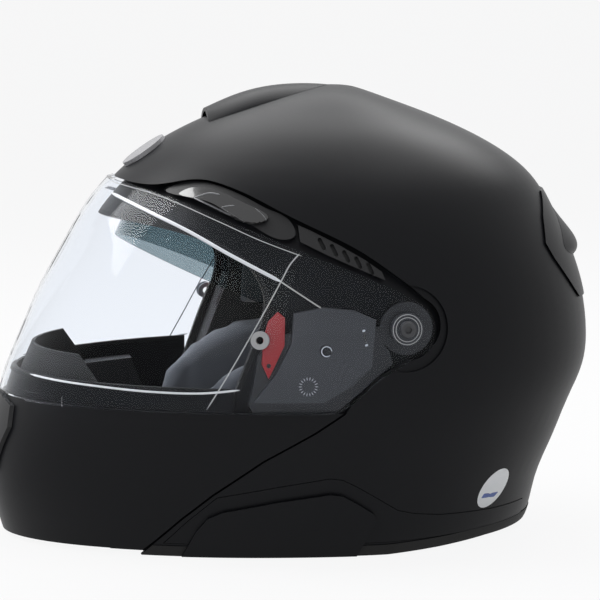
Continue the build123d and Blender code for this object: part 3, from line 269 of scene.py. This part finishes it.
def makeGlass(name, values):   # clear or tinted polycarbonate; lamp light passes straight through it
    material = bpy.data.materials.new(name)
    material.use_nodes = True
    tree = material.node_tree
    surface = tree.nodes["Principled BSDF"]
    surface.inputs["Base Color"].default_value = (*values["colour"], 1.0)
    surface.inputs["Transmission Weight"].default_value = 1.0
    surface.inputs["IOR"].default_value = glassValues["refraction"]
    pattern = tree.nodes.new("ShaderNodeGroup")
    pattern.node_tree = surfaceGroups["grain"]
    pattern.inputs["Scale"].default_value = values["scale"]
    pattern.inputs["Drift"].default_value = glassValues["drift"]
    roughness = spreadNode(tree, pattern.outputs["Mask"], glassValues["maskBand"], values["rough"])
    tree.links.new(roughness, surface.inputs["Roughness"])
    rays = tree.nodes.new("ShaderNodeLightPath")
    passing = mathNode(tree, "MAXIMUM", rays.outputs["Is Shadow Ray"], rays.outputs["Is Diffuse Ray"])
    straight = tree.nodes.new("ShaderNodeBsdfTransparent")
    straight.inputs["Color"].default_value = (*values["colour"], 1.0)
    blend = tree.nodes.new("ShaderNodeMixShader")
    tree.links.new(passing, blend.inputs[0])
    tree.links.new(surface.outputs[0], blend.inputs[1])
    tree.links.new(straight.outputs[0], blend.inputs[2])
    tree.links.new(blend.outputs[0], tree.nodes["Material Output"].inputs["Surface"])
    return material


materials = {name: makeFinish(name, values) for name, values in finishes.items()}
materials.update({name: makeGlass(name, values) for name, values in glasses.items()})

# nodes with a finish of their own; the rest wear their slot's
finishOfNode = {"pivot_shafts": "armPlate", "insert_pins": "pinGrey", "cover_screws": "coatedSteel",
                "chin_arm_left": "coatedSteel", "chin_arm_right": "coatedSteel",
                "pivot_base_left": "armPlate", "pivot_base_right": "armPlate",
                "arm_cover_left": "armPlate", "arm_cover_right": "armPlate",
                "visor_hub_left": "armPlate", "visor_hub_right": "armPlate"}
for nodeName, nodeObject in cadNodes.items():
    nodeObject.data.materials.clear()
    nodeObject.data.materials.append(materials[finishOfNode.get(nodeName, slotOfNode[nodeName])])
print("finishes made:", len(materials))


# mesh helpers

searchTrees = {}
sideReach = {"start": 400.0, "nearest": 120.0}   # mm from the middle plane


def surfaceOf(nodeName):
    if nodeName not in searchTrees:
        mesh = cadNodes[nodeName].data
        searchTrees[nodeName] = BVHTree.FromPolygons([vertex.co for vertex in mesh.vertices],
                                                     [face.vertices for face in mesh.polygons])
    return searchTrees[nodeName]


def sideHit(nodeName, x, z, side=left):   # the node's surface as seen from the side, at x and z in mm
    start = Vector((x * mm, side * sideReach["start"] * mm, z * mm))
    place, normal, _, _ = surfaceOf(nodeName).ray_cast(start, Vector((0, -side, 0)))
    if place is None:
        beside = Vector((x * mm, side * sideReach["nearest"] * mm, z * mm))
        place, normal, _, _ = surfaceOf(nodeName).find_nearest(beside)
    return place, (normal if normal.y * side > 0 else -normal)


def newPiece(name, meshOf, finish, body):
    mesh = bpy.data.meshes.new(name)
    meshOf.to_mesh(mesh)
    meshOf.free()
    mesh.polygons.foreach_set("use_smooth", [True] * len(mesh.polygons))
    mesh.materials.append(materials[finish])
    piece = bpy.data.objects.new(name, mesh)
    bpy.context.scene.collection.objects.link(piece)
    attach(piece, body)


def smoothRow(points, count):   # an even curve through the points
    row = []
    last = len(points) - 1
    for step in range(count + 1):
        spot = step / count * last
        at = min(int(spot), last - 1)
        share = spot - at
        before, start, end, after = (points[min(max(at + shift, 0), last)] for shift in (-1, 0, 1, 2))
        row.append(tuple(
            0.5 * (2 * b + (c - a) * share + (2 * a - 5 * b + 4 * c - d) * share ** 2
                   + (3 * b - a - 3 * c + d) * share ** 3)
            for a, b, c, d in zip(before, start, end, after)))
    return row


# a band's section: shares of the half width and of the height
bandProfile = ((-0.85, 0.6), (-0.4, 1.0), (0.4, 1.0), (0.85, 0.6))
bandEnds = {"rings": 3, "leastShare": 0.25}


def bandOn(name, target, points, width, proud, finish, body,
           side=left, count=60, sunk=0.3, blunt=False):   # a thin raised band along the points
    mesh = bmesh.new()
    rings = []
    profile = [(-1, -sunk), *((sideShare, share * proud) for sideShare, share in bandProfile), (1, -sunk)]
    row = smoothRow(points, count)
    for place, (x, z) in enumerate(row):
        nextX, nextZ = row[min(place + 1, count)]
        prevX, prevZ = row[max(place - 1, 0)]
        spot, normal = sideHit(target, x, z, side)
        ahead, _ = sideHit(target, nextX, nextZ, side)
        behind, _ = sideHit(target, prevX, prevZ, side)
        across = (ahead - behind).cross(normal).normalized()
        ends = min(place, count - place) / bandEnds["rings"]
        least = bandEnds["leastShare"]
        taper = 1.0 if blunt else min(1.0, least + (1 - least) * ends)
        reach = width * taper / 2 * mm
        rings.append([mesh.verts.new(spot + across * sideShare * reach + normal * rise * mm)
                      for sideShare, rise in profile])
    for first, second in zip(rings, rings[1:]):
        for place in range(len(first)):
            after = (place + 1) % len(first)
            mesh.faces.new((first[place], first[after], second[after], second[place]))
    mesh.faces.new(rings[0])
    mesh.faces.new(reversed(rings[-1]))
    bmesh.ops.recalc_face_normals(mesh, faces=mesh.faces)
    newPiece(name, mesh, finish, body)


# a boss's edge: shares of the outline's reach and of the height
bossEdge = ((1.0, 0.45), (0.985, 0.8), (0.95, 0.97))
bossTop = {"rimShare": 0.82, "rings": 6, "sunk": 0.3}


def bossOn(name, target, outline, proud, finish, body, side=left):   # a thin raised plate
    mesh = bmesh.new()
    centreX = sum(x for x, z in outline) / len(outline)
    centreZ = sum(z for x, z in outline) / len(outline)
    loops = []
    rings = bossTop["rings"]
    steps = [(1.0, -bossTop["sunk"]), *((share, proud * rise) for share, rise in bossEdge)]
    steps += [(bossTop["rimShare"] * (1 - step / rings), proud) for step in range(rings)]
    for share, rise in steps:
        loop = []
        for x, z in outline:
            shareX, shareZ = centreX + (x - centreX) * share, centreZ + (z - centreZ) * share
            spot, normal = sideHit(target, shareX, shareZ, side)
            loop.append(mesh.verts.new(spot + normal * rise * mm))
        loops.append(loop)
    spot, normal = sideHit(target, centreX, centreZ, side)
    middle = mesh.verts.new(spot + normal * proud * mm)
    for outer, inner in zip(loops, loops[1:]):
        for place in range(len(outer)):
            after = (place + 1) % len(outer)
            mesh.faces.new((outer[place], outer[after], inner[after], inner[place]))
    for place in range(len(outline)):
        mesh.faces.new((loops[-1][place], loops[-1][(place + 1) % len(outline)], middle))
    mesh.faces.new(reversed(loops[0]))
    bmesh.ops.recalc_face_normals(mesh, faces=mesh.faces)
    newPiece(name, mesh, finish, body)


def ellipseOutline(x, z, longHalf, shortHalf, lean=0.0, count=40):
    turn = math.radians(lean)
    outline = []
    for step in range(count):
        angle = 2 * math.pi * step / count
        along, across = longHalf * math.cos(angle), shortHalf * math.sin(angle)
        outline.append((x + along * math.cos(turn) - across * math.sin(turn),
                        z + along * math.sin(turn) + across * math.cos(turn)))
    return outline


ringShape = {"steps": 80, "sunk": 0.1}


def ringOn(name, target, place, radius, width, proud, finish, body, side=left):
    points = ellipseOutline(*place, radius, radius)
    bandOn(name, target, points + points[:1], width, proud, finish, body, side,
           count=ringShape["steps"], sunk=ringShape["sunk"], blunt=True)


def roundedOutline(corners, share=0.25, steps=5):   # a corner's curve takes this share of each edge
    outline = []
    for place, (x, z) in enumerate(corners):
        beforeX, beforeZ = corners[place - 1]
        afterX, afterZ = corners[(place + 1) % len(corners)]
        start = (x + (beforeX - x) * share, z + (beforeZ - z) * share)
        end = (x + (afterX - x) * share, z + (afterZ - z) * share)
        for step in range(steps + 1):
            t = step / steps
            outline.append(tuple((1 - t) ** 2 * a + 2 * t * (1 - t) * b + t * t * c
                                 for a, b, c in zip(start, (x, z), end)))
    return outline


# clear visor: pale strips that paint the highlights of its steps and edges, and the two rings at each
# pivot; sizes in mm
visorMarks = {
    "lines": {
        "upperStepHighlight": dict(points=[(-106, 197.7), (-90.4, 190.8), (-69.6, 181.1), (-48.3, 169.2),
                                  (-22.2, 155.5)], width=2.0, finish="paintedHighlight"),
        "upperTailHighlight": dict(points=[(-22.8, 155.8), (-10.6, 147.6), (-1.7, 141.7)], width=0.8,
                          finish="greyPrintAndHighlight"),
        "zoneEdgeHighlight": dict(points=[(-12.2, 170.3), (-17.5, 164.5), (-22.5, 156.0), (-33.9, 136.2),
                                 (-50.7, 106.8), (-62.9, 86.0)], width=0.75, finish="greyPrintAndHighlight"),
        "lowerStepHighlight": dict(points=[(-153.5, 97.5), (-139.8, 96.6), (-120.1, 95.8), (-92.9, 94.7),
                                  (-66.6, 94.8), (-45.5, 97.1)], width=1.2, finish="paintedHighlight"),
        "topEdgeHighlight": dict(points=[(-104.9, 203.2), (-82.4, 198.5), (-54.4, 187.0), (-32.9, 177.4),
                                (-11.0, 169.2)], width=0.45, finish="greyPrintAndHighlight"),
    },
    "lineProud": 0.12,
    "rings": dict(place=(45.6, 129.2), radii=(6.5, 8.1), width=0.4, proud=0.1),
}
# each strip's pale colour is a painted highlight of the clear visor's step or edge
for lineName, line in visorMarks["lines"].items():
    for side, sideName in bothSides:
        bandOn(f"visor{lineName.capitalize()}{sideName}", "visor", line["points"], line["width"],
               visorMarks["lineProud"], line["finish"], "visor", side)
rings = visorMarks["rings"]
for side, sideName in bothSides:
    for ringNumber, radius in enumerate(rings["radii"]):
        ringOn(f"pivotRing{sideName}{ringNumber}", "visor", rings["place"], radius, rings["width"],
               rings["proud"], "greyPrintAndHighlight", "visor", side)
print("visor lines done")

# arm covers: raised panel in two steps, dial of ticks, slot with painted highlights at its two ends,
# painted highlight ring on the screw
coverMarks = {
    "panels": {
        "": dict(corners=[(10.4, 113.7), (30.0, 107.5), (30.4, 105.7), (12.4, 94.9), (3.6, 96.6)],
                 proud=0.3),
        "Top": dict(corners=[(12.7, 110.6), (22.7, 106.6), (12.4, 97.4), (8.0, 97.4)], proud=0.6),
    },
    "dial": dict(place=(-8.4, 98.7), radius=5.3, ticks=18, length=1.8, width=0.75, proud=0.08),
    "slot": dict(points=[(21.8, 128.8), (22.5, 124.9), (23.2, 121.0)], width=1.6, proud=0.15),
    "slotEndHighlights": dict(long=0.9, short=0.6, lean=20.0, corners=16, proud=0.2),
    "ring": dict(place=(1.5, 117.8), radius=2.7, width=0.6, proud=0.15),
    "sunk": 0.05,
}
dial, slot, slotEndHighlights, screwRingHighlight = (coverMarks[mark] for mark in ("dial", "slot", "slotEndHighlights", "ring"))
for side, sideName in bothSides:
    cover = f"arm_cover_{sideName.lower()}"
    for panelName, panel in coverMarks["panels"].items():
        bossOn(f"coverPanel{panelName}{sideName}", cover, roundedOutline(panel["corners"]), panel["proud"],
               "armPlate", "chin_bar", side)
    dialX, dialZ = dial["place"]
    for tick in range(dial["ticks"]):
        angle = 2 * math.pi * tick / dial["ticks"]
        ends = [(dialX + reach * math.cos(angle), dialZ + reach * math.sin(angle))
                for reach in (dial["radius"] - dial["length"], dial["radius"])]
        bandOn(f"dialTick{sideName}{tick}", cover, ends, dial["width"], dial["proud"], "greyPrintAndHighlight",
               "chin_bar", side, count=4, sunk=coverMarks["sunk"])
    bandOn(f"coverSlot{sideName}", cover, slot["points"], slot["width"], slot["proud"], "gloss_plastic",
           "chin_bar", side, count=8, sunk=coverMarks["sunk"])
    # the pale ovals at the slot's ends are painted highlights
    for endNumber, end in enumerate((slot["points"][0], slot["points"][-1])):
        outline = ellipseOutline(*end, slotEndHighlights["long"], slotEndHighlights["short"], slotEndHighlights["lean"],
                                 slotEndHighlights["corners"])
        bossOn(f"coverSlotEndHighlight{sideName}{endNumber}", cover, outline, slotEndHighlights["proud"], "paintedHighlight",
               "chin_bar", side)
    # the pale ring on the screw is a painted highlight
    ringOn(f"screwRingHighlight{sideName}", "cover_screws", screwRingHighlight["place"], screwRingHighlight["radius"],
           screwRingHighlight["width"], screwRingHighlight["proud"], "paintedHighlight", "chin_bar", side)
print("cover marks done")

# brow vent lens: thin raised bands coloured as painted highlights, and the dark rim below it
browMarks = {
    "highlightsAndRim": {
        "long": dict(points=[(-66.0, 197.4), (-56.9, 200.6), (-51.0, 200.0)], width=1.1,
                     finish="paintedSoftHighlight"),
        "short": dict(points=[(-54.1, 191.5), (-49.4, 193.9), (-43.8, 194.7)], width=0.8,
                      finish="paintedSoftHighlight"),
        "end": dict(points=[(-33.0, 193.4), (-29.5, 190.0), (-27.0, 186.6)], width=0.5,
                    finish="paintedSoftHighlight"),
        "rim": dict(points=[(-70.4, 194.6), (-64.4, 191.8), (-41.0, 182.6), (-30.0, 181.6), (-26.0, 184.6)],
                    width=1.5, finish="rubber"),
    },
    "proud": 0.25, "sunk": 0.2,
}
# the long, short and end bands are painted highlights on the lens
for side, sideName in bothSides:
    slider = f"brow_slider_{sideName.lower()}"
    for lensMarkName, lensMark in browMarks["highlightsAndRim"].items():
        bandOn(f"browHighlightAndRim{lensMarkName.capitalize()}{sideName}", slider, lensMark["points"], lensMark["width"],
               browMarks["proud"], lensMark["finish"], slider, side, count=24,
               sunk=browMarks["sunk"])
print("brow vents done")

# plain oval patch low on the left of the shell, with one blue bar
ovalPatch = {
    "place": (103.0, 32.9), "long": 13.1, "short": 7.3, "lean": 49.0, "proud": 0.12,
    "bar": dict(corners=[(95.0, 28.0), (96.8, 30.6), (106.8, 30.0), (104.0, 27.4)], cornerShare=0.12,
                proud=0.18),
}
ovalBar = ovalPatch["bar"]
ovalOutline = ellipseOutline(*ovalPatch["place"], ovalPatch["long"], ovalPatch["short"], ovalPatch["lean"])
bossOn("ovalPatch", "shell", ovalOutline, ovalPatch["proud"], "white_plastic", "helmet")
bossOn("ovalStripe", "shell", roundedOutline(ovalBar["corners"], ovalBar["cornerShare"]), ovalBar["proud"],
       "blueStripe", "helmet")
print("oval patch done")

# padding: each foam solid is remeshed, swollen by a short cloth run, then given its sewn channels
cheekSeams = [("x", -52.0), ("x", -12.0)]   # a seam is an axis and the place on it in mm
padShapes = {
    "cheekPadLeft": dict(node="cheek_pad_left", voxel=4.0, swell=2.5, cap=3.0, seams=cheekSeams),
    "cheekPadRight": dict(node="cheek_pad_right", voxel=4.0, swell=2.5, cap=3.0, seams=cheekSeams),
    "neckRoll": dict(node="neck_roll", voxel=4.0, swell=1.5, cap=2.0, seams=[("y", -50.0), ("y", 50.0)]),
    "crownPad": dict(node="crown_pad", voxel=4.0, swell=1.0, cap=1.5,
                     seams=[("x", -20.0), ("x", 35.0), ("y", 0.0)],
                     window=[(-20, 95), (-20, 150), (-30, 172), (-55, 186), (-82, 193), (-112, 197),
                             (-190, 199), (-190, 95)]),
}
padWork = {"seamHalfWidth": 2.2, "seamDepth": 1.1, "relaxFactor": 0.6, "relaxRounds": 6,
           "pressure": 4.0, "quality": 4, "lastFrame": 14,
           "cutterReach": 160.0}   # mm to each side, past the helmet's width


def nodeCopy(name, nodeName):
    piece = bpy.data.objects.new(name, cadNodes[nodeName].data.copy())
    bpy.context.scene.collection.objects.link(piece)
    piece.data.materials.clear()
    return piece


def applyModifiers(piece):
    graph = bpy.context.evaluated_depsgraph_get()
    mesh = bpy.data.meshes.new_from_object(piece.evaluated_get(graph))
    piece.modifiers.clear()
    piece.data = mesh


def cutWindow(piece, outline):   # clears the part of the pad that would stand in the eye opening
    cutter = bmesh.new()
    reach = padWork["cutterReach"] * mm
    near, far = ([cutter.verts.new((x * mm, side * reach, z * mm)) for x, z in outline]
                 for side in (left, right))
    cutter.faces.new(near)
    cutter.faces.new(reversed(far))
    for place in range(len(outline)):
        after = (place + 1) % len(outline)
        cutter.faces.new((near[after], near[place], far[place], far[after]))
    bmesh.ops.recalc_face_normals(cutter, faces=cutter.faces)
    cutterMesh = bpy.data.meshes.new("windowCutter")
    cutter.to_mesh(cutterMesh)
    cutter.free()
    cutterObject = bpy.data.objects.new("windowCutter", cutterMesh)
    bpy.context.scene.collection.objects.link(cutterObject)
    cut = piece.modifiers.new("window", "BOOLEAN")
    cut.operation = "DIFFERENCE"
    cut.object = cutterObject
    applyModifiers(piece)
    bpy.data.objects.remove(cutterObject)
    bpy.data.meshes.remove(cutterMesh)


def swellPad(piece, cap):   # air pressure from inside, with the movement held to the cap
    before = [vertex.co.copy() for vertex in piece.data.vertices]
    cloth = piece.modifiers.new("swell", "CLOTH")
    cloth.settings.use_pressure = True
    cloth.settings.uniform_pressure_force = padWork["pressure"]
    cloth.settings.effector_weights.gravity = 0.0
    cloth.settings.quality = padWork["quality"]
    cloth.point_cache.frame_start, cloth.point_cache.frame_end = 1, padWork["lastFrame"]
    for frameNumber in range(1, padWork["lastFrame"] + 1):
        bpy.context.scene.frame_set(frameNumber)
    applyModifiers(piece)
    bpy.context.scene.frame_set(1)
    for vertex, start in zip(piece.data.vertices, before):
        move = vertex.co - start
        if move.length > cap * mm:
            vertex.co = start + move.normalized() * cap * mm


for padName, pad in padShapes.items():
    piece = nodeCopy(padName, pad["node"])
    if "window" in pad:
        cutWindow(piece, pad["window"])
    remesh = piece.modifiers.new("even", "REMESH")
    remesh.mode = "VOXEL"
    remesh.voxel_size = pad["voxel"] * mm
    relax = piece.modifiers.new("relax", "SMOOTH")
    relax.factor, relax.iterations = padWork["relaxFactor"], padWork["relaxRounds"]
    applyModifiers(piece)
    shrink = piece.modifiers.new("shrink", "DISPLACE")
    shrink.strength, shrink.mid_level = -pad["swell"] * mm, 0.0
    applyModifiers(piece)
    swellPad(piece, pad["cap"])
    for vertex in piece.data.vertices:
        sink = 0.0
        for axis, place in pad["seams"]:
            away = (vertex.co.x if axis == "x" else vertex.co.y) / mm - place
            sink = max(sink, math.exp(-(away / padWork["seamHalfWidth"]) ** 2))
        vertex.co -= vertex.normal * sink * padWork["seamDepth"] * mm
    refine = piece.modifiers.new("refine", "SUBSURF")
    refine.levels = refine.render_levels = 1
    applyModifiers(piece)
    piece.data.polygons.foreach_set("use_smooth", [True] * len(piece.data.polygons))
    piece.data.materials.append(materials["padding"])
    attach(piece, "helmet")
    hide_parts(pad["node"])
print("padding done")

# chin straps: flat webbing over each strap's solid, with rounded selvedges; the bevel is in mm
strapShape = {"bevel": 0.7, "segments": 3}
for sideName in ("left", "right"):
    piece = nodeCopy(f"webbing{sideName.capitalize()}", f"chin_strap_{sideName}")
    edgeRound = piece.modifiers.new("selvedge", "BEVEL")
    edgeRound.width, edgeRound.segments = strapShape["bevel"] * mm, strapShape["segments"]
    edgeRound.limit_method = "ANGLE"
    applyModifiers(piece)
    piece.data.materials.append(materials["webbing"])
    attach(piece, bodyOfNode[f"chin_strap_{sideName}"])
    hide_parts(f"chin_strap_{sideName}")
print("straps done")

# stage, light and camera, in metres and watts
stageValues = {"floorHalf": 40.0, "floorColour": (0.6, 0.6, 0.605), "floorRoughness": 0.9,
               "floorShine": 0.1, "floorGlow": (0.975, 0.975, 0.978), "glowShare": 0.93,
               "background": (0.93, 0.93, 0.933), "worldLight": 0.4}


def seenRays(tree):   # one where a ray shows the backdrop itself, nought where it carries light
    rays = tree.nodes.new("ShaderNodeLightPath")
    mirrored = mathNode(tree, "MAXIMUM", rays.outputs["Is Glossy Ray"], rays.outputs["Is Transmission Ray"])
    return mathNode(tree, "MAXIMUM", rays.outputs["Is Camera Ray"], mirrored)


paleFloor = bpy.data.materials.new("paleFloor")
paleFloor.use_nodes = True
floorTree = paleFloor.node_tree
floorSurface = floorTree.nodes["Principled BSDF"]
floorSurface.inputs["Base Color"].default_value = (*stageValues["floorColour"], 1.0)
floorSurface.inputs["Roughness"].default_value = stageValues["floorRoughness"]
floorSurface.inputs["Specular IOR Level"].default_value = stageValues["floorShine"]
floorGlow = floorTree.nodes.new("ShaderNodeEmission")
floorGlow.inputs["Color"].default_value = (*stageValues["floorGlow"], 1.0)
floorBlend = floorTree.nodes.new("ShaderNodeMixShader")
floorSeen = mathNode(floorTree, "MULTIPLY", seenRays(floorTree), stageValues["glowShare"])
floorTree.links.new(floorSeen, floorBlend.inputs[0])
floorTree.links.new(floorSurface.outputs[0], floorBlend.inputs[1])
floorTree.links.new(floorGlow.outputs[0], floorBlend.inputs[2])
floorTree.links.new(floorBlend.outputs[0], floorTree.nodes["Material Output"].inputs["Surface"])

floorMesh = bmesh.new()
bmesh.ops.create_grid(floorMesh, x_segments=1, y_segments=1, size=stageValues["floorHalf"])
floorData = bpy.data.meshes.new("studioFloor")
floorMesh.to_mesh(floorData)
floorMesh.free()
floorData.materials.append(paleFloor)
studioFloor = bpy.data.objects.new("studioFloor", floorData)
bpy.context.scene.collection.objects.link(studioFloor)

world = bpy.data.worlds.new("studioWorld")
bpy.context.scene.world = world
world.use_nodes = True
worldTree = world.node_tree
lightBack = worldTree.nodes["Background"]
lightBack.inputs["Color"].default_value = (1.0, 1.0, 1.0, 1.0)
lightBack.inputs["Strength"].default_value = stageValues["worldLight"]
seenBack = worldTree.nodes.new("ShaderNodeBackground")
seenBack.inputs["Color"].default_value = (*stageValues["background"], 1.0)
blend = worldTree.nodes.new("ShaderNodeMixShader")
worldTree.links.new(seenRays(worldTree), blend.inputs[0])
worldTree.links.new(lightBack.outputs[0], blend.inputs[1])
worldTree.links.new(seenBack.outputs[0], blend.inputs[2])
worldTree.links.new(blend.outputs[0], worldTree.nodes["World Output"].inputs["Surface"])

lampAim = Vector((0, 0, 0.13))   # lamps point at the middle of the helmet
lamps = {
    "topSoftbox": dict(place=(0.12, 0.45, 1.25), size=1.2, power=19.0),
    "frontRim": dict(place=(-0.95, 0.3, 1.05), size=0.7, power=13.0),
    "backRim": dict(place=(0.75, 0.6, 1.15), size=0.6, power=5.0),
    "nearFill": dict(place=(-0.7, -1.3, 0.55), size=0.8, power=2.5),
}
for lampName, lamp in lamps.items():
    data = bpy.data.lights.new(lampName, "AREA")
    data.size = lamp["size"]
    data.energy = lamp["power"]
    lampObject = bpy.data.objects.new(lampName, data)
    lampObject.location = lamp["place"]
    lampObject.rotation_euler = (Vector(lamp["place"]) - lampAim).to_track_quat("Z", "Y").to_euler()
    bpy.context.scene.collection.objects.link(lampObject)

shot = {"azimuth": -9.0, "elevation": 7.0, "distance": 1.8, "aim": (0.0062, 0.0, 0.1311), "lens": 186.2,
        "sensor": 36.0}
turn, tilt = math.radians(shot["azimuth"]), math.radians(shot["elevation"])
backwards = Vector((math.sin(turn) * math.cos(tilt), -math.cos(turn) * math.cos(tilt), math.sin(tilt)))
cameraData = bpy.data.cameras.new("photoCamera")
cameraData.lens = shot["lens"]
cameraData.sensor_width = shot["sensor"]
camera = bpy.data.objects.new("photoCamera", cameraData)
camera.location = Vector(shot["aim"]) + backwards * shot["distance"]
camera.rotation_euler = backwards.to_track_quat("Z", "Y").to_euler()
bpy.context.scene.collection.objects.link(camera)
bpy.context.scene.camera = camera
bpy.context.scene.view_settings.view_transform = "Standard"
print("stage, light and camera done")
